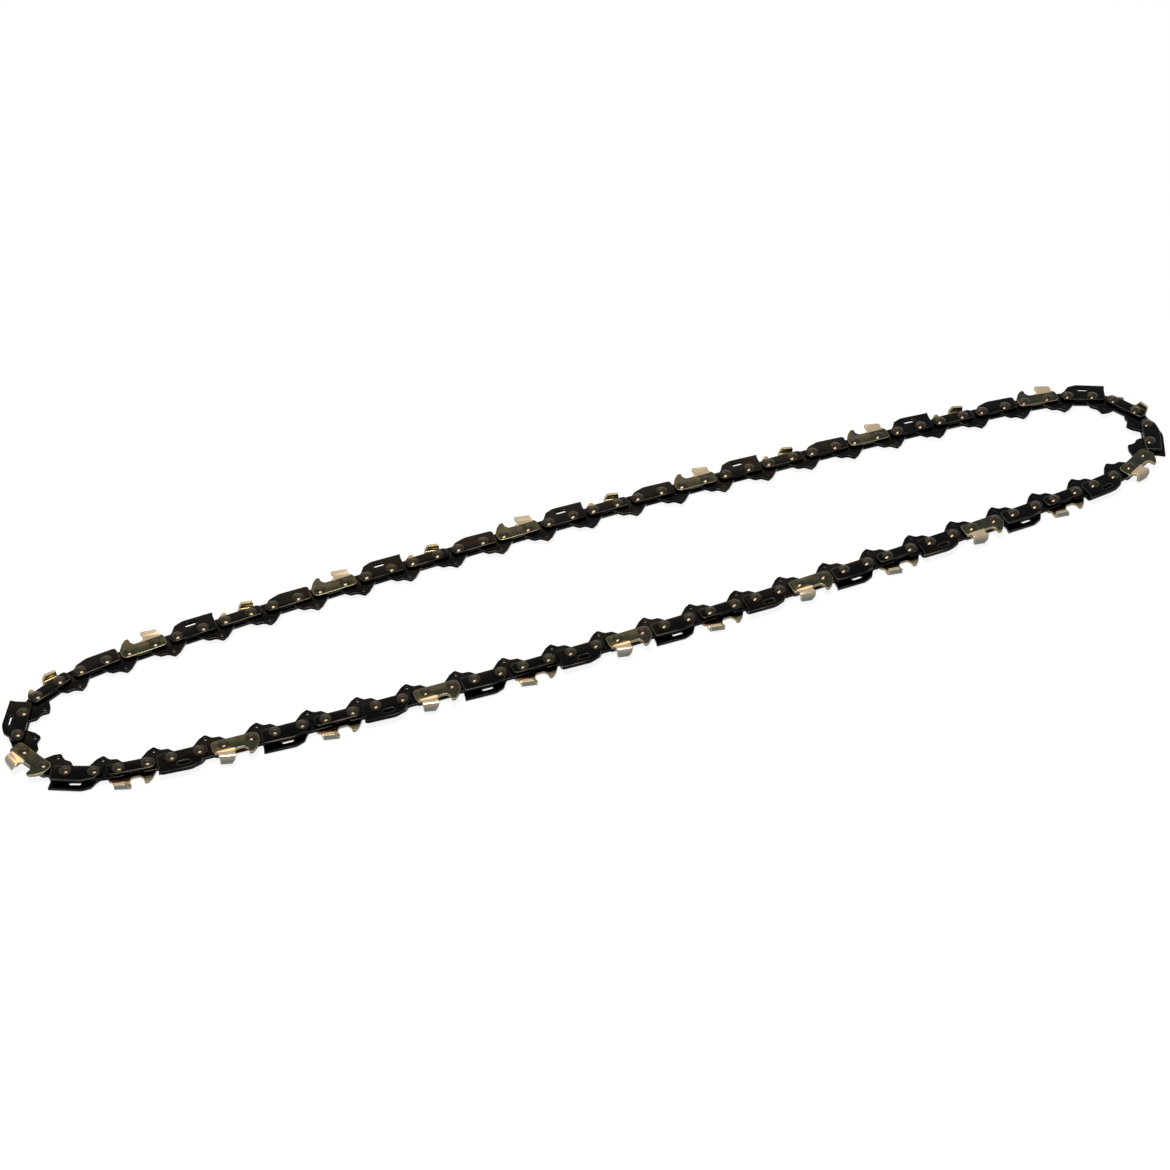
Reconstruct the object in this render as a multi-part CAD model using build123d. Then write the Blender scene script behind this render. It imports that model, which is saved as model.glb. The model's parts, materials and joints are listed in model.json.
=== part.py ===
from build123d import *
from math import cos, exp, pi, radians, sin, tan
import os

# A low-profile saw chain, lying on its side as a closed loop. All sizes are in millimetres.
# Each link is drawn with its rivets on the X axis, +X towards the end that trails in the cut,
# +Y outwards to the cutting side, and Z = 0 at the middle of the chain's thickness.

# The chain as a whole.
DRIVE_LINKS = 52          # any multiple of 4
DRIVE_SPACING = 8.65      # between the two rivets of a drive link
STRAP_SPACING = 10.0      # between the two rivets of a strap or cutter
GAUGE = 1.3               # thickness of a drive link, which runs in the bar's groove
STRAP_THICKNESS = 1.3
SIDE_PLAY = 0.06          # between a drive link and the strap on either side

# How the loop lies: two long runs, and two tight ends with their middles half the loop apart.
END_RIVET = 4.6           # middle of the first end, counted in rivets from the first one
END_SPREAD = 2.5          # rivets to either side over which an end does most of its turn
RUN_BOW = 10.0            # degrees that each long run bows outwards

# Rivets, six-sided so that the hundred and four of them stay light.
RIVET_SIDES = 6
RIVET_RADIUS = 1.7
RIVET_PLAY = 0.06         # between a rivet and the hole that turns on it
HEAD_RADIUS = 2.15
HEAD_HEIGHT = 0.75

# Drive link.
DRIVE_END = 2.9           # from its rivet to its end
DRIVE_HEIGHT = 3.0        # from the rivet line to its outer edge
TANG_DEPTH = 7.5          # from the rivet line to the tip of the tang
SHELF_DEPTH = 5.5         # from the rivet line to the low shelf ahead of the tip
TIP_OFFSET = 0.8          # of the tip, towards the trailing end

# Straps and cutters.
STRAP_LEAD = 2.9          # from the leading rivet to the leading end
STRAP_TRAIL = 4.4         # from the trailing rivet to the trailing end
GUARD_TRAIL = 5.1         # the same on the two straps of a tie link
STRAP_DEPTH = 2.4         # from the rivet line to the inner edge
CORNER_CUT = 1.6          # off the inner corners, so that links clear each other in a tight turn
PLAIN_HEIGHT = 2.5        # from the rivet line to the outer edge of a cutter's opposite strap
TIE_HEIGHT = 4.5
GUARD_HEIGHT = 6.3
EDGE_FALL = 0.4           # of the outer edge of a tie or guard strap, towards its trailing corner
GUARD_HOOK = 0.4          # by which a guard's trailing corner overhangs
WINDOW_LENGTH = 4.4
WINDOW_HEIGHT = 1.5
WINDOW_EDGE = 1.6         # of metal above the window

# Cutter.
DEPTH_GAUGE_HEIGHT = 7.2
DEPTH_GAUGE_TIP = 2.9     # of the tip, ahead of the middle of the link
GULLET_HEIGHT = 3.0
TOOTH_HEIGHT = 7.9
TOOTH_FALL = 1.3          # of the top plate, from its edge to its heel
TOOTH_START = 2.0         # of the cutting corner, behind the middle of the link
TOOTH_LENGTH = 6.2
TOOTH_SET = 0.75          # by which the tooth stands out beyond the face of the cutter
TOP_PLATE_WIDTH = 3.3
PLATE_THICKNESS = 1.0     # of the tooth's side and top
FILING_ANGLE = 30.0

STRAP_FACE = GAUGE / 2 + SIDE_PLAY
OUTER_FACE = STRAP_FACE + STRAP_THICKNESS
DRIVE_RIVET = DRIVE_SPACING / 2
STRAP_RIVET = STRAP_SPACING / 2


def plate(outline, bottom, top):
    """A flat plate with the given outline, between two heights."""
    face = make_face(Polyline(*outline, close=True))
    return Pos(0, 0, bottom) * extrude(face, top - bottom)


def strap(outer_edge, trail):
    """The strap on the upper side, whose outer edge runs from its leading to its trailing end."""
    lead_end = -STRAP_RIVET - STRAP_LEAD
    trail_end = STRAP_RIVET + trail
    inner_edge = [
        (trail_end, CORNER_CUT - STRAP_DEPTH),
        (trail_end - CORNER_CUT, -STRAP_DEPTH),
        (lead_end + CORNER_CUT, -STRAP_DEPTH),
        (lead_end, CORNER_CUT - STRAP_DEPTH),
    ]
    return plate(outer_edge + inner_edge, STRAP_FACE, OUTER_FACE)


def rivet():
    """One rivet: a shank right through the link, with a low head on either side."""
    shank = Pos(0, 0, -OUTER_FACE) * extrude(RegularPolygon(RIVET_RADIUS, RIVET_SIDES), 2 * OUTER_FACE)
    head = loft([RegularPolygon(HEAD_RADIUS, RIVET_SIDES).face(), Vertex(0, 0, HEAD_HEIGHT)])
    upper_head = Pos(0, 0, OUTER_FACE) * head
    return shank + upper_head + mirror(upper_head, about=Plane.XY)


def drive_link():
    """The middle plate, with two holes for its rivets and the tang that runs in the bar's groove."""
    end = DRIVE_RIVET + DRIVE_END
    shoulder = end - DRIVE_END / 2.5
    outline = [
        (-end, 0),
        (-shoulder, DRIVE_HEIGHT),
        (shoulder, DRIVE_HEIGHT),
        (end, 0),
        (shoulder, -DRIVE_HEIGHT),
        (TIP_OFFSET, -TANG_DEPTH),
        (TIP_OFFSET - 1.7, -SHELF_DEPTH),
        (-DRIVE_RIVET + 0.5, 0.2 - SHELF_DEPTH),
        (-shoulder, -DRIVE_HEIGHT),
    ]
    hole = extrude(RegularPolygon(RIVET_RADIUS + RIVET_PLAY, RIVET_SIDES, major_radius=False), GAUGE, both=True)
    link = plate(outline, -GAUGE / 2, GAUGE / 2)
    return link - Pos(-DRIVE_RIVET, 0, 0) * hole - Pos(DRIVE_RIVET, 0, 0) * hole


def riveted(upper, lower):
    """An outer link: an upper strap, a second one turned over below, and the two rivets between."""
    rivets = Pos(-STRAP_RIVET, 0, 0) * rivet() + Pos(STRAP_RIVET, 0, 0) * rivet()
    return upper + mirror(lower, about=Plane.XY) + rivets


def tie_link():
    """The outer link between two cutters, with a guard strap above and a tie strap below."""
    lead_end = -STRAP_RIVET - STRAP_LEAD
    trail_end = STRAP_RIVET + GUARD_TRAIL
    tie_strap = strap([
        (lead_end + 0.6 * STRAP_LEAD, 0.65 * TIE_HEIGHT),
        (-STRAP_RIVET / 4, TIE_HEIGHT),
        (trail_end, TIE_HEIGHT - EDGE_FALL),
    ], GUARD_TRAIL)
    guard_strap = strap([
        (lead_end + 0.5 * STRAP_LEAD, 0.4 * GUARD_HEIGHT),
        (-0.8 * STRAP_RIVET, 0.85 * GUARD_HEIGHT),
        (-STRAP_RIVET / 4, GUARD_HEIGHT),
        (trail_end + GUARD_HOOK, GUARD_HEIGHT - EDGE_FALL),
    ], GUARD_TRAIL)
    window_middle = GUARD_HEIGHT - EDGE_FALL - WINDOW_EDGE - WINDOW_HEIGHT / 2
    window = extrude(Rectangle(WINDOW_LENGTH, WINDOW_HEIGHT), 2 * OUTER_FACE)
    guard_strap -= Pos(STRAP_RIVET / 4, window_middle, 0) * window
    return riveted(guard_strap, tie_strap)


def cutter_link():
    """The outer link that cuts, with a cutter above and a plain strap below."""
    lead_end = -STRAP_RIVET - STRAP_LEAD
    trail_end = STRAP_RIVET + STRAP_TRAIL
    tooth_end = TOOTH_START + TOOTH_LENGTH
    side = strap([
        (lead_end, STRAP_LEAD / 2),
        (-STRAP_RIVET, 0.85 * DEPTH_GAUGE_HEIGHT),
        (-DEPTH_GAUGE_TIP, DEPTH_GAUGE_HEIGHT),
        (-DEPTH_GAUGE_TIP, 0.4 * GULLET_HEIGHT + GULLET_HEIGHT),
        (1 - DEPTH_GAUGE_TIP, GULLET_HEIGHT),
        (TOOTH_START, GULLET_HEIGHT),
        (tooth_end, 1.2 * GULLET_HEIGHT),
        (trail_end, 0.7 * GULLET_HEIGHT),
    ], STRAP_TRAIL)
    # The tooth is a bent plate: a block of its full width, opened below the top plate.
    tooth_outline = [
        (TOOTH_START, GULLET_HEIGHT),
        (TOOTH_START, TOOTH_HEIGHT),
        (tooth_end, TOOTH_HEIGHT - TOOTH_FALL),
        (tooth_end, GULLET_HEIGHT),
    ]
    tooth_face = OUTER_FACE + TOOTH_SET
    plate_edge = tooth_face - TOP_PLATE_WIDTH
    below_plate = [(x, y - PLATE_THICKNESS) for x, y in tooth_outline]
    tooth = plate(tooth_outline, plate_edge, tooth_face)
    tooth -= plate(below_plate, plate_edge, tooth_face - PLATE_THICKNESS)
    # Its leading edge is filed back from the outer corner.
    filed = TOP_PLATE_WIDTH * tan(radians(FILING_ANGLE))
    filed_corner = [
        (TOOTH_START, tooth_face),
        (TOOTH_START, plate_edge),
        (TOOTH_START + filed, plate_edge),
    ]
    filed_off = extrude(Plane.XZ * make_face(Polyline(*filed_corner, close=True)), -2 * TOOTH_HEIGHT)
    plain_strap = strap([
        (lead_end, STRAP_LEAD / 3),
        (lead_end + STRAP_LEAD / 2, PLAIN_HEIGHT),
        (trail_end - STRAP_LEAD / 2, PLAIN_HEIGHT),
        (trail_end, STRAP_LEAD / 3),
    ], STRAP_TRAIL)
    return riveted(side + (tooth - filed_off), plain_strap)


def turn(rivet_number):
    """The angle in radians by which the loop turns at a rivet. It repeats after half the loop."""
    def weight(number):
        apart = (number - END_RIVET + DRIVE_LINKS / 2) % DRIVE_LINKS - DRIVE_LINKS / 2
        return exp(-((apart / END_SPREAD) ** 2) / 2)
    share = weight(rivet_number) / sum(weight(number) for number in range(DRIVE_LINKS))
    return radians((180 - RUN_BOW) * share + RUN_BOW / DRIVE_LINKS)


def lay_out_loop():
    """The place of each link, walked from the leading to the trailing end of every link."""
    links = 2 * DRIVE_LINKS
    # The middle of the first long run is walked straight along -X.
    mid_run = round(END_RIVET + DRIVE_LINKS / 2)
    heading = pi + sum(turn(number) for number in range(1, mid_run + 1))
    x, y = 0.0, 0.0
    rivets, headings = [], []
    for number in range(links):
        if number:
            heading -= turn(number)
        rivets.append((x, y))
        headings.append(heading)
        spacing = STRAP_SPACING if number % 2 else DRIVE_SPACING
        x += spacing * cos(heading)
        y += spacing * sin(heading)
    # Rivets half the loop apart lie opposite each other about the middle of the loop.
    middle_x = (rivets[0][0] + rivets[DRIVE_LINKS][0]) / 2
    middle_y = (rivets[0][1] + rivets[DRIVE_LINKS][1]) / 2
    rivets = [(x - middle_x, y - middle_y) for x, y in rivets]
    places = []
    for number, heading in enumerate(headings):
        spacing = STRAP_SPACING if number % 2 else DRIVE_SPACING
        mid_x = rivets[number][0] + spacing / 2 * cos(heading)
        mid_y = rivets[number][1] + spacing / 2 * sin(heading)
        places.append(Pos(mid_x, mid_y, REST_HEIGHT) * Rot(0, 0, heading * 180 / pi))
    return rivets, places


# The chain lies on the rivet heads and teeth of its lower side.
REST_HEIGHT = OUTER_FACE + max(HEAD_HEIGHT, TOOTH_SET)

rivets, places = lay_out_loop()
drive = drive_link()
guard_up = tie_link()
guard_down = mirror(guard_up, about=Plane.XY)
cutter_up = cutter_link()
cutter_down = mirror(cutter_up, about=Plane.XY)

# Four links make one segment of the loop: drive link, tie link, drive link, cutter link.
# Right-hand and left-hand cutters alternate, each with the guard ahead of it on the other side.
os.makedirs("parts", exist_ok=True)
for segment in range(DRIVE_LINKS // 2):
    first = 4 * segment
    left_hand = segment % 2 == 1
    tie = guard_down if left_hand else guard_up
    cutter = cutter_up if left_hand else cutter_down
    side = "left" if left_hand else "right"
    links = Compound([places[first] * drive, places[first + 1] * tie, places[first + 2] * drive])
    export_step(links, f"parts/links_{segment + 1:02d}.step")
    export_step(places[first + 3] * cutter, f"parts/{side}_cutter_{segment // 2 + 1:02d}.step")
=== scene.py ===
import json
from math import asin, cos, exp, pi, radians, sin, tan

import bmesh
import bpy
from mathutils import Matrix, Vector


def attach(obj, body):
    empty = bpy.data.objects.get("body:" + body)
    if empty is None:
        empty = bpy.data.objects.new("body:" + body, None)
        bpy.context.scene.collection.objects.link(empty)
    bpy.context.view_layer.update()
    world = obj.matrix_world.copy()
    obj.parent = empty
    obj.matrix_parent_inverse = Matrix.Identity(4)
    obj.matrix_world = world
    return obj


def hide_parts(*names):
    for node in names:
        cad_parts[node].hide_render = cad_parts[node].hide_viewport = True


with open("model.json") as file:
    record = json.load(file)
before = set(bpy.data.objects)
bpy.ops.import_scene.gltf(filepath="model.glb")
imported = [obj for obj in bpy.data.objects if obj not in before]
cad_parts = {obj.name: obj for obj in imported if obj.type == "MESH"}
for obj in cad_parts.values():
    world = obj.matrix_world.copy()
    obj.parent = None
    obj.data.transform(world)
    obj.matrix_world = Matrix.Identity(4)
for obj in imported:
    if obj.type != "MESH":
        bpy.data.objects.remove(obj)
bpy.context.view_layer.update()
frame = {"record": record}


# Drive links: the middle plates of the chain, whose tangs point inwards and run in the groove of the guide bar.
# Each is stamped from hardened spring strip, tumbled until its edges are round, and blackened,
# and has two holes for the rivets that it turns on and a small oil hole near the tip of its tang.
MM = 0.001
DRIVE_LINKS = 52
DRIVE_SPACING = 8.65 * MM
STRAP_SPACING = 10.0 * MM
GAUGE = 1.3 * MM
DRIVE_ROLL = (0.35 * MM, 0.16 * MM)

# The rivets are alternately a drive link and a strap apart. The loop was laid on its side by hand,
# so it turns tightly at both ends and bows a little between them. The bow is in degrees.
LINKS = 2 * DRIVE_LINKS
END_RIVET = 4.6
END_SPREAD = 2.5
RUN_BOW = 10.0
REST_HEIGHT = 2.76 * MM


def turn(rivet_number):
    """The angle in radians by which the loop turns at a rivet."""
    def weight(number):
        apart = (number - END_RIVET + DRIVE_LINKS / 2) % DRIVE_LINKS - DRIVE_LINKS / 2
        return exp(-((apart / END_SPREAD) ** 2) / 2)
    share = weight(rivet_number) / sum(weight(number) for number in range(DRIVE_LINKS))
    return radians((180 - RUN_BOW) * share + RUN_BOW / DRIVE_LINKS)


mid_run = round(END_RIVET + DRIVE_LINKS / 2)
heading = pi + sum(turn(number) for number in range(1, mid_run + 1))
pen = Vector((0, 0))
rivets, headings = [], []
for number in range(LINKS):
    heading -= turn(number) if number else 0
    spacing = STRAP_SPACING if number % 2 else DRIVE_SPACING
    rivets.append(pen.copy())
    headings.append(heading)
    pen += spacing * Vector((cos(heading), sin(heading)))
loop_middle = (rivets[0] + rivets[DRIVE_LINKS]) / 2
rivets = [rivet - loop_middle for rivet in rivets]
link_places = [
    (*(rivets[number] + rivets[(number + 1) % LINKS]) / 2, headings[number]) for number in range(LINKS)
]


def linear(colour):
    """The linear colour of an sRGB hex value."""
    parts = [int(colour[place:place + 2], 16) / 255 for place in (1, 3, 5)]
    return [part / 12.92 if part <= 0.04045 else ((part + 0.055) / 1.055) ** 2.4 for part in parts] + [1]


def add_node(material, kind, links=(), **settings):
    """Adds a node. A setting is one of its own properties or a socket's value, and a link is (socket, source)."""
    node = material.node_tree.nodes.new(kind)
    for name, value in settings.items():
        if hasattr(node, name):
            setattr(node, name, value)
    for name, value in settings.items():
        if not hasattr(node, name):
            node.inputs[name.replace("_", " ")].default_value = value
    for socket, source in links:
        material.node_tree.links.new(source, node.inputs[socket])
    return node


def new_material(name):
    material = bpy.data.materials.new(name)
    material.use_nodes = True
    material.node_tree.nodes.clear()
    return material


# Strip is rolled or ground lengthwise, so its marks are ten times as long as they are wide.
MARK_STRETCH = (0.1, 1, 1)
MARK_DEPTH = 0.02 * MM
EDGE_DULLING = 0.35


def marks_along_strip(material, edge, mark, detail, gloss, relief):
    """The roughness and normal of marks along the strip that a plate is stamped from, duller at its rubbed edges."""
    strip = add_node(material, "ShaderNodeAttribute", attribute_name="blank")
    along = add_node(material, "ShaderNodeMapping", [("Vector", strip.outputs["Vector"])], Scale=MARK_STRETCH)
    marks = add_node(
        material, "ShaderNodeTexNoise", [("Vector", along.outputs["Vector"])], Scale=1 / mark, Detail=detail,
    )
    polish = add_node(
        material, "ShaderNodeMapRange", [("Value", marks.outputs["Fac"])], To_Min=gloss[0], To_Max=gloss[1],
    )
    dulled = add_node(
        material, "ShaderNodeMath", [(0, edge), (2, polish.outputs["Result"])], operation="MULTIPLY_ADD",
    )
    dulled.inputs[1].default_value = EDGE_DULLING
    bump = add_node(
        material, "ShaderNodeBump", [("Height", marks.outputs["Fac"])], Strength=relief, Distance=MARK_DEPTH,
    )
    return dulled.outputs["Value"], bump.outputs["Normal"]


# Black oxide on spring steel is a thin, glossy film: nearly black, a warm brown where it is thin,
# and rubbed through to grey steel along the edges. The rolling marks are drawn coarser than real ones,
# so that they show.
PATCH = 9 * MM
ROLLING_MARK = 0.35 * MM
black_steel = new_material("black_oxide_spring_steel")
place = add_node(black_steel, "ShaderNodeTexCoord").outputs["Object"]
patches = add_node(black_steel, "ShaderNodeTexNoise", [("Vector", place)], Scale=1 / PATCH, Detail=3.0)
film = add_node(black_steel, "ShaderNodeValToRGB", [("Fac", patches.outputs["Fac"])])
film.color_ramp.elements[0].position = 0.45
film.color_ramp.elements[0].color = linear("#0A0B0D")
film.color_ramp.elements[1].position = 0.72
film.color_ramp.elements[1].color = linear("#13100D")
rim = add_node(black_steel, "ShaderNodeAttribute", attribute_name="rim").outputs["Fac"]
worn = add_node(
    black_steel, "ShaderNodeMapRange", [("Value", patches.outputs["Fac"])],
    From_Min=0.35, From_Max=0.65, To_Min=0.05, To_Max=0.35,
)
wear = add_node(black_steel, "ShaderNodeMath", [(0, rim), (1, worn.outputs["Result"])], operation="MULTIPLY")
colour = add_node(
    black_steel, "ShaderNodeMix", [("Factor", wear.outputs["Value"]), ("A", film.outputs["Color"])],
    data_type="RGBA",
)
colour.inputs["B"].default_value = linear("#7A7268")
roughness, normal = marks_along_strip(black_steel, rim, ROLLING_MARK, detail=2.0, gloss=(0.1, 0.22), relief=0.06)
shader = add_node(black_steel, "ShaderNodeBsdfPrincipled", [
    ("Base Color", colour.outputs["Result"]),
    ("Roughness", roughness),
    ("Normal", normal),
], Metallic=1.0)
add_node(black_steel, "ShaderNodeOutputMaterial", [("Surface", shader.outputs["BSDF"])])


def rounded(corners, steps=4):
    """An outline in millimetres as points in metres, with each corner (x, y, radius) rounded off."""
    points = []
    for index, (x, y, radius) in enumerate(corners):
        corner = Vector((x, y))
        if not radius:
            points.append(corner * MM)
            continue
        before = (Vector(corners[index - 1][:2]) - corner).normalized()
        after = (Vector(corners[(index + 1) % len(corners)][:2]) - corner).normalized()
        half = before.angle(after) / 2
        middle = corner + (before + after).normalized() * radius / sin(half)
        start = corner + before * radius / tan(half) - middle
        end = corner + after * radius / tan(half) - middle
        for step in range(steps + 1):
            points.append((middle + start.slerp(end, step / steps).normalized() * radius) * MM)
    return points


def round_hole(x, y, radius, sides=12):
    """A hole in millimetres as points in metres."""
    turns = [2 * pi * side / sides for side in range(sides)]
    return [Vector((x + radius * cos(angle), y + radius * sin(angle))) * MM for angle in turns]


# Points closer than WELD are one point. A face is one of the plate's flats if its normal is nearly upright.
WELD = 0.001 * MM
UPRIGHT = 0.9
LEVEL = radians(1)
CREASE = radians(50)
# How much each ring of a rolled edge is rubbed, from the wall inwards.
RUBBED = (1, 0.6, 0.2, 0)


def stamped_plate(name, outlines, low, thickness, upper_roll, lower_roll):
    """A stamped plate: an outer outline, then any holes. A roll is the (width, drop) of an edge that is rounded off."""
    curve = bpy.data.curves.new(name, "CURVE")
    curve.dimensions = "2D"
    curve.fill_mode = "BOTH"
    wall = thickness - upper_roll[1] - lower_roll[1]
    curve.extrude = wall / 2
    for outline in outlines:
        spline = curve.splines.new("POLY")
        spline.points.add(len(outline) - 1)
        for point, spot in zip(spline.points, outline):
            point.co = (*spot, 0, 1)
        spline.use_cyclic_u = True
    flat_curve = bpy.data.objects.new(name, curve)
    mesh = bpy.data.meshes.new_from_object(flat_curve)
    bpy.data.objects.remove(flat_curve)
    plate = bmesh.new()
    plate.from_mesh(mesh)
    bmesh.ops.remove_doubles(plate, verts=plate.verts, dist=WELD)
    bmesh.ops.translate(plate, verts=plate.verts, vec=(0, 0, low + lower_roll[1] + wall / 2))
    bmesh.ops.recalc_face_normals(plate, faces=plate.faces)
    # The flats are joined into a few large faces, so that no thin triangle folds over when the edge is rolled in.
    inner_edges = [
        edge for edge in plate.edges if all(abs(face.normal.z) > UPRIGHT for face in edge.link_faces)
    ]
    bmesh.ops.dissolve_limit(plate, angle_limit=LEVEL, verts=[], edges=inner_edges)
    layers = {kind: plate.faces.layers.float.new(kind) for kind in ("rim", "wall", "upper")}
    upper_side = [face for face in plate.faces if face.normal.z > UPRIGHT]
    lower_side = [face for face in plate.faces if face.normal.z < -UPRIGHT]
    for face in plate.faces:
        face[layers["wall"]] = 1 if abs(face.normal.z) < UPRIGHT else 0
        face[layers["upper"]] = 1 if face.normal.z > UPRIGHT else 0
    # The rolled edge follows a quarter of an ellipse, from the wall up to the flat of the plate.
    for side, (width, drop) in ((upper_side, upper_roll), (lower_side, lower_roll)):
        for step, rubbed in enumerate(RUBBED):
            before, after = (pi / 2 * angle / len(RUBBED) for angle in (step, step + 1))
            ring = bmesh.ops.inset_region(
                plate, faces=side, use_boundary=True, use_even_offset=True,
                thickness=width * (cos(before) - cos(after)), depth=drop * (sin(after) - sin(before)),
            )["faces"]
            for face in ring:
                face[layers["rim"]] = rubbed
                face[layers["upper"]] = 1 if side is upper_side else 0
    flats = set(upper_side + lower_side)
    for face in plate.faces:
        face.smooth = face not in flats
    # Each point keeps its place in the flat blank, which the marks of the strip follow.
    blank = plate.verts.layers.float_vector.new("blank")
    for vertex in plate.verts:
        vertex[blank] = vertex.co
    plate.to_mesh(mesh)
    plate.free()
    mesh.set_sharp_from_angle(angle=CREASE)
    return mesh


# The tree sets one pattern on every place along the loop, turned to the heading that the place carries.
loop_tree = bpy.data.node_groups.new("pieces_along_the_loop", "GeometryNodeTree")
loop_tree.interface.new_socket("Places", in_out="INPUT", socket_type="NodeSocketGeometry")
pattern_input = loop_tree.interface.new_socket("Pattern", in_out="INPUT", socket_type="NodeSocketObject")
finish_input = loop_tree.interface.new_socket("Finish", in_out="INPUT", socket_type="NodeSocketMaterial")
loop_tree.interface.new_socket("Pieces", in_out="OUTPUT", socket_type="NodeSocketGeometry")
given = loop_tree.nodes.new("NodeGroupInput")
pattern_node = loop_tree.nodes.new("GeometryNodeObjectInfo")
heading_node = loop_tree.nodes.new("GeometryNodeInputNamedAttribute")
heading_node.inputs["Name"].default_value = "heading"
turned = loop_tree.nodes.new("ShaderNodeCombineXYZ")
placed = loop_tree.nodes.new("GeometryNodeInstanceOnPoints")
realized = loop_tree.nodes.new("GeometryNodeRealizeInstances")
finished = loop_tree.nodes.new("GeometryNodeSetMaterial")
made = loop_tree.nodes.new("NodeGroupOutput")
for source, target in (
    (given.outputs["Pattern"], pattern_node.inputs["Object"]),
    (heading_node.outputs["Attribute"], turned.inputs["Z"]),
    (given.outputs["Places"], placed.inputs["Points"]),
    (pattern_node.outputs["Geometry"], placed.inputs["Instance"]),
    (turned.outputs["Vector"], placed.inputs["Rotation"]),
    (placed.outputs["Instances"], realized.inputs["Geometry"]),
    (realized.outputs["Geometry"], finished.inputs["Geometry"]),
    (given.outputs["Finish"], finished.inputs["Material"]),
    (finished.outputs["Geometry"], made.inputs["Pieces"]),
):
    loop_tree.links.new(source, target)

# Every four links are a group with a pair of CAD nodes: drive link, tie link and drive link, and then the cutter link.
GROUP = 4


def link_node(group):
    return f"links_{group + 1:02d}"


def cutter_node(group):
    return f"{'left' if group % 2 else 'right'}_cutter_{group // 2 + 1:02d}"


def set_along_loop(kind, mesh, places, numbers, finish, nodes_of):
    """One piece of this kind for each body. numbers(group) picks its places, and nodes_of(group) its CAD nodes."""
    pattern = bpy.data.objects.new(kind + "_pattern", mesh)
    for body, nodes in frame["record"]["behaviour"]["bodies"].items():
        groups = [group for group in range(LINKS // GROUP) if link_node(group) in nodes and numbers(group)]
        if not groups:
            continue
        spots = [places[number % LINKS] for group in groups for number in numbers(group)]
        name = f"{kind}_{body[-2:]}"
        points = bpy.data.meshes.new(name)
        points.from_pydata([(x, y, REST_HEIGHT) for x, y, _ in spots], [], [])
        angles = points.attributes.new("heading", "FLOAT", "POINT")
        angles.data.foreach_set("value", [angle for _, _, angle in spots])
        holder = bpy.data.objects.new(name + "_places", points)
        bpy.context.scene.collection.objects.link(holder)
        modifier = holder.modifiers.new("along_the_loop", "NODES")
        modifier.node_group = loop_tree
        modifier[pattern_input.identifier] = pattern
        modifier[finish_input.identifier] = finish
        evaluated = holder.evaluated_get(bpy.context.evaluated_depsgraph_get())
        piece = bpy.data.objects.new(name, bpy.data.meshes.new_from_object(evaluated))
        bpy.data.objects.remove(holder)
        bpy.context.scene.collection.objects.link(piece)
        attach(piece, body)
        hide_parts(*(node for group in groups for node in nodes_of(group)))
    bpy.data.objects.remove(pattern)


# Outlines, and the radii of the holes, are in millimetres.
RIVET_HOLE = 1.76
OIL_HOLE = 0.55
drive_outline = rounded([
    (-7.2, 3.0, 2.6), (7.2, 3.0, 2.6), (7.2, -2.4, 2.2), (3.3, -6.3, 2.2), (0.9, -7.6, 0.9),
    (-0.6, -6.1, 1.0), (-1.5, -5.5, 1.0), (-3.9, -5.3, 1.0), (-7.2, -2.2, 2.2),
])
drive_holes = [round_hole(side * DRIVE_SPACING / MM / 2, 0, RIVET_HOLE) for side in (-1, 1)]
oil_hole = round_hole(1.1, -5.5, OIL_HOLE)
drive_link = stamped_plate(
    "drive_link", [drive_outline, *drive_holes, oil_hole], -GAUGE / 2, GAUGE, DRIVE_ROLL, DRIVE_ROLL,
)
set_along_loop(
    "drive_links", drive_link, link_places, lambda group: (GROUP * group, GROUP * group + 2),
    black_steel, lambda group: [link_node(group)],
)


# Tie straps and guard straps: the outer plates of the links between cutters, one of each to a link.
# The guard is the taller one and has a slot through it; it leads the cutter behind it into the wood.
# Both are stamped from the same strip as the drive links, with a rolled edge on the outside, and blackened.
STRAP_THICKNESS = 1.3 * MM
SIDE_PLAY = 0.06 * MM
STRAP_FACE = GAUGE / 2 + SIDE_PLAY
OUTER_FACE = STRAP_FACE + STRAP_THICKNESS
OUTER_ROLL = (0.9 * MM, 0.26 * MM)
GUARD_ROLL = (0.6 * MM, 0.18 * MM)
INNER_ROLL = (0.12 * MM, 0.12 * MM)
guard_outline = rounded([
    (-7.9, -2.4, 2.0), (10.1, -2.4, 1.5), (10.1, 3.6, 1.5), (10.5, 5.9, 0), (-1.3, 6.35, 5.0), (-4.6, 5.1, 1.4),
    (-6.3, 2.5, 1.2), (-7.9, 1.0, 1.4),
])
guard_slot = rounded([(-0.95, 2.8, 0.74), (3.45, 2.8, 0.74), (3.45, 4.3, 0.74), (-0.95, 4.3, 0.74)])
tie_outline = rounded([
    (-7.9, -2.4, 2.0), (10.1, -2.4, 1.5), (10.1, 4.1, 1.2), (-1.2, 4.6, 6.0), (-5.4, 3.3, 2.5), (-7.9, 0.8, 2.0),
])


def strap_on(side, name, outlines, roll):
    """A strap above or below the drive links, with its rolled edge on the outside."""
    if side == "upper":
        return stamped_plate(f"upper_{name}", outlines, STRAP_FACE, STRAP_THICKNESS, roll, INNER_ROLL)
    return stamped_plate(f"lower_{name}", outlines, -OUTER_FACE, STRAP_THICKNESS, INNER_ROLL, roll)


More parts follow.
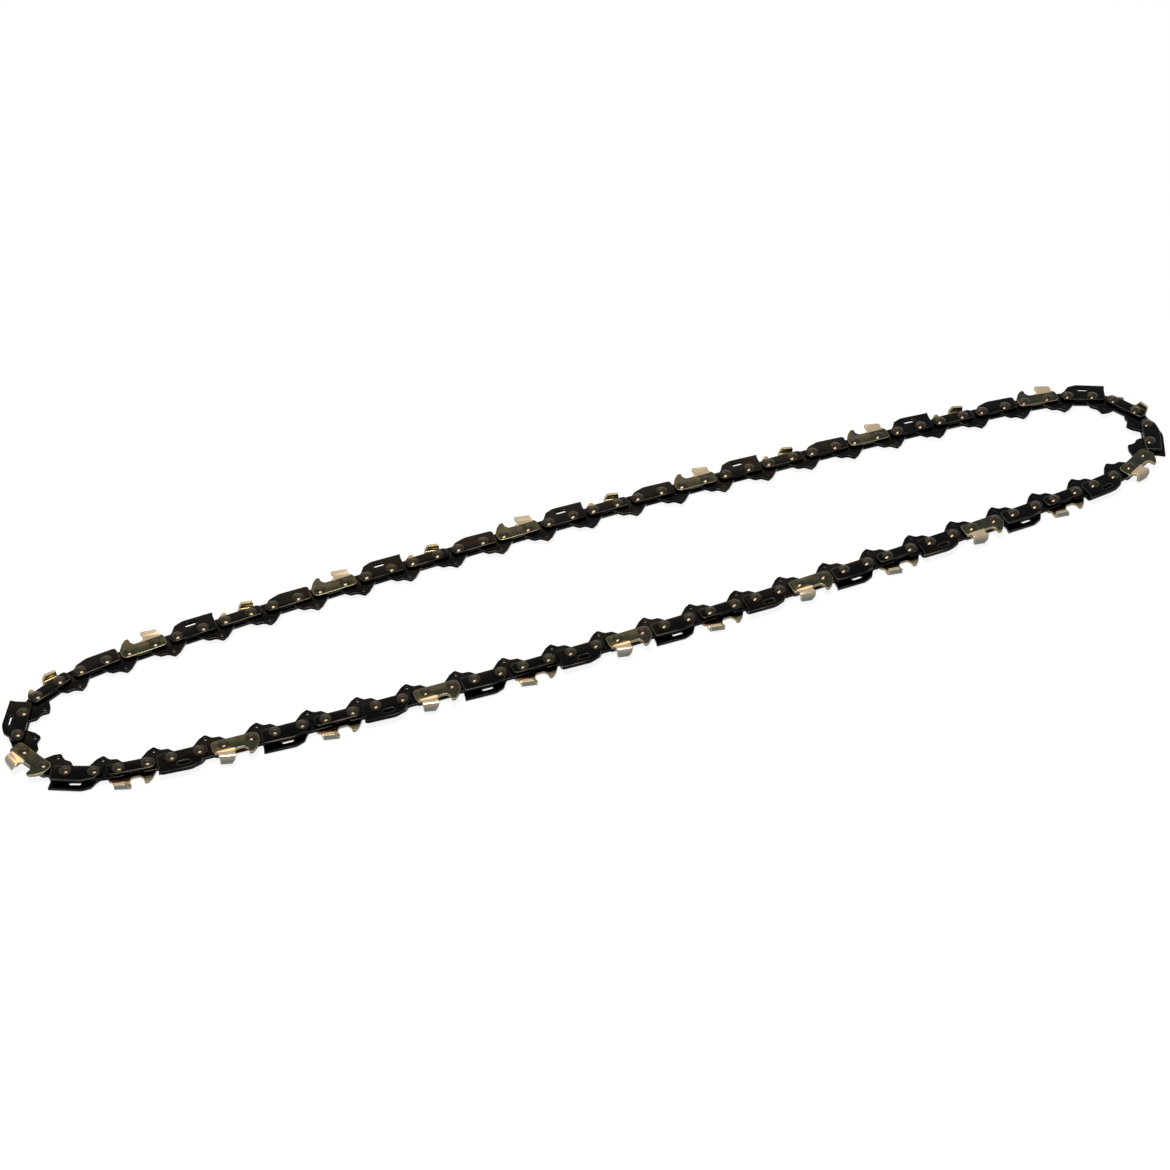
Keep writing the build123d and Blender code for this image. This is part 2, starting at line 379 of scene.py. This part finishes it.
# The guard is on the upper side in even groups of links, and on the lower side in odd ones.
for side, guard_parity in (("upper", 0), ("lower", 1)):
    set_along_loop(
        f"{side}_guard_straps", strap_on(side, "guard", [guard_outline, guard_slot], GUARD_ROLL), link_places,
        lambda group: [GROUP * group + 1] if group % 2 == guard_parity else [],
        black_steel, lambda group: [link_node(group)],
    )
    set_along_loop(
        f"{side}_tie_straps", strap_on(side, "tie", [tie_outline], OUTER_ROLL), link_places,
        lambda group: [GROUP * group + 1] if group % 2 != guard_parity else [],
        black_steel, lambda group: [link_node(group)],
    )


# Cutters: each is a side plate with a depth gauge ahead and a tooth behind, whose top is bent over the chain.
# They are stamped flat from alloy steel, bent, hardened, chrome-plated on the outside of the tooth, and filed
# at an angle. Left-hand ones are on the upper side of the chain and right-hand ones on the lower side, in turn.
PLATE = STRAP_THICKNESS / MM
CUTTER_ROLL = (0.3 * MM, 0.18 * MM)
GULLET = 3.0
TOOTH_HEIGHT = 7.9
TOOTH_FALL = 1.3
TOOTH_START = 1.5
TOOTH_LENGTH = 6.2
TOOTH_SET = 0.75
TOP_PLATE_WIDTH = 3.6
BEND_RADIUS = 1.1
FILING_ANGLE = 30.0
bend_start = TOOTH_HEIGHT - BEND_RADIUS - PLATE / 2
bend_length = BEND_RADIUS * pi / 2
top_flat = TOP_PLATE_WIDTH - BEND_RADIUS - PLATE / 2
blank_top = bend_start + bend_length + top_flat
fall = TOOTH_FALL / TOOTH_LENGTH
tooth_end = TOOTH_START + TOOTH_LENGTH
filed = (bend_length + top_flat) * tan(radians(FILING_ANGLE))
cutter_outline = rounded([
    (-7.9, -2.4, 2.0), (9.3, -2.4, 1.5), (9.3, 2.1, 0.7), (8.7, 3.1, 0.5), (tooth_end + 0.2, 3.3, 0.3),
    (tooth_end, bend_start - TOOTH_FALL, 0), (tooth_end - 0.2, blank_top - TOOTH_FALL, 0),
    (TOOTH_START + filed, blank_top - fall * filed, 0), (TOOTH_START, bend_start, 0),
    (2.1, 4.3, 1.3), (0.9, GULLET, 1.1), (-2.0, GULLET, 1.2), (-3.1, 4.3, 1.0), (-3.2, 6.3, 0.35),
    (-4.5, 6.3, 0.8), (-6.2, 4.7, 1.6), (-7.9, 1.9, 1.4),
])
# The blank is divided across the tooth, at heights from the start of the bend, so that it can lean and bend there.
LEAN_HEIGHTS = (-2.7, -2.2, -1.5, -0.7)
BEND_STEPS = 8
SLIVER = 0.004 * MM
# Walls above this height are ground or filed, and half bare; that pale tone is also a painted highlight.
GROUND_FROM = 2.5 * MM
GROUND_BARE_AND_GLINT = 0.5
CUTTER_CREASE = radians(40)


def bent_cutter(name, hand):
    """The flat blank of a cutter with its tooth set outwards and bent over. hand is 1 above the chain, -1 below."""
    mesh = stamped_plate(name, [cutter_outline], STRAP_FACE, STRAP_THICKNESS, CUTTER_ROLL, INNER_ROLL)
    cutter = bmesh.new()
    cutter.from_mesh(mesh)
    across = Vector((fall, 1, 0)).normalized()
    for height in (*LEAN_HEIGHTS, *(bend_length * step / BEND_STEPS for step in range(BEND_STEPS + 1))):
        bmesh.ops.bisect_plane(
            cutter, geom=cutter.verts[:] + cutter.edges[:] + cutter.faces[:],
            plane_co=Vector((TOOTH_START, bend_start + height, 0)) * MM, plane_no=across,
        )
    bmesh.ops.dissolve_degenerate(cutter, edges=cutter.edges, dist=SLIVER)
    # Bare steel shows as a pale line along the outer rim, and paler on the walls that are ground or filed. This pale
    # tone is also a painted highlight along the edges.
    rim, wall, upper = (cutter.faces.layers.float[kind] for kind in ("rim", "wall", "upper"))
    bare_steel_and_glint = cutter.faces.layers.float.new("bare_steel_and_glint")
    inner = cutter.faces.layers.float.new("inner")
    for face in cutter.faces:
        ground = face[wall] and face.calc_center_median().y > GROUND_FROM
        face[bare_steel_and_glint] = GROUND_BARE_AND_GLINT if ground else face[rim] * face[upper]
        face[inner] = 1 if not face[upper] and not face[wall] else 0
    top_plate = cutter.verts.layers.float.new("top_plate")
    plate_middle = STRAP_FACE / MM + PLATE / 2
    for vertex in cutter.verts:
        x, y, z = vertex.co / MM
        if x < 0 or y < GULLET:
            continue
        bend = bend_start - fall * (x - TOOTH_START)
        vertex[top_plate] = min(1, max(0, (y - bend) / bend_length))
        lean = TOOTH_SET * min(1, (y - GULLET) / (bend - GULLET))
        depth = z - plate_middle
        past = max(0, y - bend)
        angle = min(past / BEND_RADIUS, pi / 2)
        flat = past - BEND_RADIUS * angle
        if past:
            y = bend + (BEND_RADIUS + depth) * sin(angle) + flat * cos(angle)
            z = plate_middle - BEND_RADIUS + (BEND_RADIUS + depth) * cos(angle) - flat * sin(angle)
        vertex.co = Vector((x, y, z + lean)) * MM
    for face in cutter.faces:
        face.smooth = True
    if hand < 0:
        bmesh.ops.scale(cutter, verts=cutter.verts, vec=(1, 1, -1))
    bmesh.ops.recalc_face_normals(cutter, faces=cutter.faces)
    cutter.to_mesh(mesh)
    cutter.free()
    mesh.set_sharp_from_angle(angle=CUTTER_CREASE)
    return mesh


# The side plates keep a thin olive film from hardening. Hard chrome leaves the top of the tooth grey. The straw cream
# down its side is painted sheen: a paler, warmer chrome for the lamp light that the leaning side catches. Sheared and
# ground edges are bare, pale steel, and their pale tone is also a painted highlight along the edges. The inner faces
# are painted near black low down, a painted shade deep between the plates, and paler higher up where they are filed.
# The grinding marks are drawn coarser than real ones, so that they show.
FILM_PATCH = 4 * MM
GRINDING_MARK = 0.4 * MM
# Heights on the flat blank where the plating and its painted sheen start, and where the painted shade of the inner
# faces ends, and the width of their soft borders.
PLATING_AND_SHEEN_FROM = 2.4
INNER_SHADE_TO = 3.9
FADE = 0.5
cutter_steel = new_material("hardened_and_chromed_cutter_steel")
place = add_node(cutter_steel, "ShaderNodeTexCoord").outputs["Object"]
patches = add_node(cutter_steel, "ShaderNodeTexNoise", [("Vector", place)], Scale=1 / FILM_PATCH, Detail=4.0)
film = add_node(cutter_steel, "ShaderNodeValToRGB", [("Fac", patches.outputs["Fac"])])
film.color_ramp.elements[0].position = 0.35
film.color_ramp.elements[0].color = linear("#292C25")
film.color_ramp.elements[1].position = 0.7
film.color_ramp.elements[1].color = linear("#39392C")
blank = add_node(cutter_steel, "ShaderNodeAttribute", attribute_name="blank")
on_blank = add_node(cutter_steel, "ShaderNodeSeparateXYZ", [("Vector", blank.outputs["Vector"])])
raised = add_node(
    cutter_steel, "ShaderNodeMapRange", [("Value", on_blank.outputs["Y"])],
    From_Min=PLATING_AND_SHEEN_FROM * MM, From_Max=(PLATING_AND_SHEEN_FROM + FADE) * MM,
)
after_gullet = add_node(
    cutter_steel, "ShaderNodeMapRange", [("Value", on_blank.outputs["X"])],
    From_Min=(TOOTH_START - FADE) * MM, From_Max=TOOTH_START * MM,
)
before_heel = add_node(
    cutter_steel, "ShaderNodeMapRange", [("Value", on_blank.outputs["X"])],
    From_Min=(tooth_end + FADE) * MM, From_Max=tooth_end * MM,
)
tooth = add_node(
    cutter_steel, "ShaderNodeMath", [(0, after_gullet.outputs["Result"]), (1, before_heel.outputs["Result"])],
    operation="MULTIPLY",
)
plating_and_painted_sheen = add_node(
    cutter_steel, "ShaderNodeMath", [(0, raised.outputs["Result"]), (1, tooth.outputs["Value"])],
    operation="MULTIPLY",
)
# Painted sheen: the tooth side is a paler, warmer copy of the chrome, standing in for the lamp light that it catches.
tooth_side_painted_sheen = add_node(
    cutter_steel, "ShaderNodeMix", [("Factor", plating_and_painted_sheen.outputs["Value"]), ("A", film.outputs["Color"])],
    data_type="RGBA",
)
tooth_side_painted_sheen.inputs["B"].default_value = linear("#B09E84")
top_plate = add_node(cutter_steel, "ShaderNodeAttribute", attribute_name="top_plate")
outside = add_node(
    cutter_steel, "ShaderNodeMix", [("Factor", top_plate.outputs["Fac"]), ("A", tooth_side_painted_sheen.outputs["Result"])],
    data_type="RGBA",
)
outside.inputs["B"].default_value = linear("#6B6D69")
# Painted shade: the inner faces are near black low down, deep between the plates, and fade to the paler filed colour
# higher up.
inner_shade_fade = add_node(
    cutter_steel, "ShaderNodeMapRange", [("Value", on_blank.outputs["Y"])],
    From_Min=INNER_SHADE_TO * MM, From_Max=(INNER_SHADE_TO + 3 * FADE) * MM,
)
inner_painted_shade = add_node(cutter_steel, "ShaderNodeMix", [("Factor", inner_shade_fade.outputs["Result"])], data_type="RGBA")
inner_painted_shade.inputs["A"].default_value = linear("#180A06")
inner_painted_shade.inputs["B"].default_value = linear("#746A4E")
inner = add_node(cutter_steel, "ShaderNodeAttribute", attribute_name="inner")
faces = add_node(cutter_steel, "ShaderNodeMix", [
    ("Factor", inner.outputs["Fac"]),
    ("A", outside.outputs["Result"]),
    ("B", inner_painted_shade.outputs["Result"]),
], data_type="RGBA")
# The pale colour of the bare edges is worn and filed steel, and also a painted highlight along those edges.
bare_steel_and_glint = add_node(cutter_steel, "ShaderNodeAttribute", attribute_name="bare_steel_and_glint").outputs["Fac"]
colour = add_node(cutter_steel, "ShaderNodeMix", [("Factor", bare_steel_and_glint), ("A", faces.outputs["Result"])], data_type="RGBA")
colour.inputs["B"].default_value = linear("#B0A282")
roughness, normal = marks_along_strip(cutter_steel, bare_steel_and_glint, GRINDING_MARK, detail=3.0, gloss=(0.16, 0.2), relief=0.015)
shader = add_node(cutter_steel, "ShaderNodeBsdfPrincipled", [
    ("Base Color", colour.outputs["Result"]),
    ("Roughness", roughness),
    ("Normal", normal),
], Metallic=1.0)
add_node(cutter_steel, "ShaderNodeOutputMaterial", [("Surface", shader.outputs["BSDF"])])

for hand, name, cutter_parity in ((1, "left_cutter", 1), (-1, "right_cutter", 0)):
    set_along_loop(
        name + "s", bent_cutter(name, hand), link_places,
        lambda group: [GROUP * group + 3] if group % 2 == cutter_parity else [],
        cutter_steel, lambda group: [cutter_node(group)],
    )


# Plain straps: the low outer plates that face the cutters across the chain and complete their links.
# They are stamped from spring strip, rolled at the outer edge and blackened, like the other straps.
plain_outline = rounded([(-7.9, -2.4, 2.2), (9.3, -2.4, 1.6), (9.3, 2.5, 1.6), (-7.9, 2.5, 2.2)])
for side, plain_parity in (("upper", 0), ("lower", 1)):
    set_along_loop(
        f"{side}_plain_straps", strap_on(side, "plain", [plain_outline], OUTER_ROLL), link_places,
        lambda group: [GROUP * group + 3] if group % 2 == plain_parity else [],
        black_steel, lambda group: [cutter_node(group)],
    )


# Rivets: each holds a pair of outer plates together, with a drive link turning on its shank between them.
# They are turned from tough steel, and their ends are spun over on both sides into low domes,
# which burnishes them to a dark bronze.
HEAD_RADIUS = 2.15 * MM
HEAD_HEIGHT = REST_HEIGHT - OUTER_FACE
SHANK_RADIUS = 1.7 * MM
SIDES = 20
dome_radius = (HEAD_RADIUS ** 2 + HEAD_HEIGHT ** 2) / (2 * HEAD_HEIGHT)
dome_angle = asin(HEAD_RADIUS / dome_radius)
profile = [
    Vector((dome_radius * sin(angle), 0, OUTER_FACE + HEAD_HEIGHT - dome_radius * (1 - cos(angle))))
    for angle in (0, dome_angle / 3, dome_angle * 2 / 3, dome_angle)
]
profile.append(Vector((SHANK_RADIUS, 0, STRAP_FACE)))
profile += [Vector((x, y, -z)) for x, y, z in reversed(profile)]
rivet = bmesh.new()
spots = [rivet.verts.new(spot) for spot in profile]
lines = [rivet.edges.new(pair) for pair in zip(spots, spots[1:])]
bmesh.ops.spin(
    rivet, geom=spots + lines, cent=(0, 0, 0), axis=(0, 0, 1), angle=2 * pi, steps=SIDES, use_merge=True,
)
bmesh.ops.remove_doubles(rivet, verts=rivet.verts, dist=WELD)
bmesh.ops.recalc_face_normals(rivet, faces=rivet.faces)
for face in rivet.faces:
    face.smooth = True
rivet_mesh = bpy.data.meshes.new("rivet")
rivet.to_mesh(rivet_mesh)
rivet.free()
rivet_mesh.set_sharp_from_angle(angle=CREASE)

# Spun steel is smooth and bright under a dark film, so each head shows the lamp as one small point.
SPIN_MARK = 0.6 * MM
rivet_steel = new_material("spun_rivet_steel")
place = add_node(rivet_steel, "ShaderNodeTexCoord").outputs["Object"]
spun = add_node(rivet_steel, "ShaderNodeTexNoise", [("Vector", place)], Scale=1 / SPIN_MARK, Detail=2.0)
film = add_node(rivet_steel, "ShaderNodeValToRGB", [("Fac", spun.outputs["Fac"])])
film.color_ramp.elements[0].position = 0.3
film.color_ramp.elements[0].color = linear("#2C2820")
film.color_ramp.elements[1].position = 0.7
film.color_ramp.elements[1].color = linear("#3C362B")
gloss = add_node(rivet_steel, "ShaderNodeMapRange", [("Value", spun.outputs["Fac"])], To_Min=0.12, To_Max=0.18)
shader = add_node(rivet_steel, "ShaderNodeBsdfPrincipled", [
    ("Base Color", film.outputs["Color"]),
    ("Roughness", gloss.outputs["Result"]),
], Metallic=1.0)
add_node(rivet_steel, "ShaderNodeOutputMaterial", [("Surface", shader.outputs["BSDF"])])

set_along_loop(
    "rivets", rivet_mesh, [(*rivet_place, 0) for rivet_place in rivets],
    lambda group: [GROUP * group + step for step in (1, 2, 3, 4)],
    rivet_steel, lambda group: [link_node(group), cutter_node(group)],
)


# The table: a sheet of white paper, seen as plain white, which keeps a faint shadow of the chain.
# The white sky above it is what the steel mirrors, and lights the chain less strongly than it looks.
FLOOR = 3.0
WHITE_SHARE = 0.88
SKY_LIGHT = 0.4


def seen_or_mirrored(surroundings):
    """1 for what the camera sees straight, in a mirror or through glass, and 0 for light that falls on the chain."""
    ray = add_node(surroundings, "ShaderNodeLightPath")
    shiny = add_node(
        surroundings, "ShaderNodeMath",
        [(0, ray.outputs["Is Glossy Ray"]), (1, ray.outputs["Is Transmission Ray"])], operation="ADD",
    )
    seen = add_node(
        surroundings, "ShaderNodeMath",
        [(0, ray.outputs["Is Camera Ray"]), (1, shiny.outputs["Value"])], operation="ADD", use_clamp=True,
    )
    return seen.outputs["Value"]


floor_mesh = bpy.data.meshes.new("table")
floor_corners = [(-FLOOR, -FLOOR, 0), (FLOOR, -FLOOR, 0), (FLOOR, FLOOR, 0), (-FLOOR, FLOOR, 0)]
floor_mesh.from_pydata(floor_corners, [], [(0, 1, 2, 3)])
floor = bpy.data.objects.new("table", floor_mesh)
bpy.context.scene.collection.objects.link(floor)
# Matt paper scatters light evenly. Most of what is seen of it is plain white, and the rest takes the shadow.
paper = new_material("white_paper_sweep")
shown = add_node(paper, "ShaderNodeMath", [(0, seen_or_mirrored(paper))], operation="MULTIPLY")
shown.inputs[1].default_value = WHITE_SHARE
sheet = add_node(paper, "ShaderNodeBsdfDiffuse", Color=linear("#F4F4F4"))
white = add_node(paper, "ShaderNodeEmission", Color=linear("#FFFFFF"), Strength=1.0)
mixed = add_node(paper, "ShaderNodeMixShader", [
    ("Fac", shown.outputs["Value"]),
    (1, sheet.outputs["BSDF"]),
    (2, white.outputs["Emission"]),
])
add_node(paper, "ShaderNodeOutputMaterial", [("Surface", mixed.outputs["Shader"])])
floor_mesh.materials.append(paper)

world = bpy.data.worlds.new("studio")
bpy.context.scene.world = world
world.use_nodes = True
world.node_tree.nodes.clear()
dim = add_node(world, "ShaderNodeBackground", Color=linear("#FFFFFF"), Strength=SKY_LIGHT)
white = add_node(world, "ShaderNodeBackground", Color=linear("#FFFFFF"), Strength=1.0)
mixed = add_node(world, "ShaderNodeMixShader", [
    ("Fac", seen_or_mirrored(world)),
    (1, dim.outputs["Background"]),
    (2, white.outputs["Background"]),
])
add_node(world, "ShaderNodeOutputWorld", [("Surface", mixed.outputs["Shader"])])


# The lamps: a soft box above the chain, which puts the bright point on every rivet and along the bent teeth,
# and a warm card behind it, which browns the back run. Places and sizes are in metres, and power in watts.
def add_lamp(name, place, aim, width, depth, power, colour):
    lamp = bpy.data.lights.new(name, "AREA")
    lamp.shape = "RECTANGLE"
    lamp.size = width
    lamp.size_y = depth
    lamp.energy = power
    lamp.color = linear(colour)[:3]
    holder = bpy.data.objects.new(name, lamp)
    holder.location = place
    holder.rotation_mode = "QUATERNION"
    holder.rotation_quaternion = (Vector(aim) - Vector(place)).to_track_quat("-Z", "Y")
    bpy.context.scene.collection.objects.link(holder)


add_lamp(
    "soft_box", place=(-0.1, -0.1, 0.98), aim=(-0.1, 0, 0), width=0.5, depth=0.22, power=11.0, colour="#FFFAF4",
)
add_lamp(
    "warm_card", place=(0.15, 0.82, 0.72), aim=(0.15, 0, 0), width=0.8, depth=0.28, power=1.9, colour="#FFD8A4",
)


# The camera: as the photograph was taken, from in front and to the left, 47 degrees above the table.
# Its place and angle were worked out from the rivets.
IMAGE = 1170
FOCAL_PIXELS = 2327.5
SENSOR = 36
AZIMUTH = radians(-21.43)
ELEVATION = radians(46.67)
DISTANCE = 0.8773
LOOK_AT = Vector((-14.88, -3.81, 5.2)) * MM
camera_data = bpy.data.cameras.new("camera")
camera_data.sensor_width = SENSOR
camera_data.lens = SENSOR * FOCAL_PIXELS / IMAGE
camera = bpy.data.objects.new("camera", camera_data)
back = Vector((sin(AZIMUTH) * cos(ELEVATION), -cos(AZIMUTH) * cos(ELEVATION), sin(ELEVATION)))
camera.location = LOOK_AT + back * DISTANCE
camera.rotation_mode = "QUATERNION"
camera.rotation_quaternion = (-back).to_track_quat("-Z", "Y")
bpy.context.scene.collection.objects.link(camera)
bpy.context.scene.camera = camera
bpy.context.scene.view_settings.view_transform = "Standard"
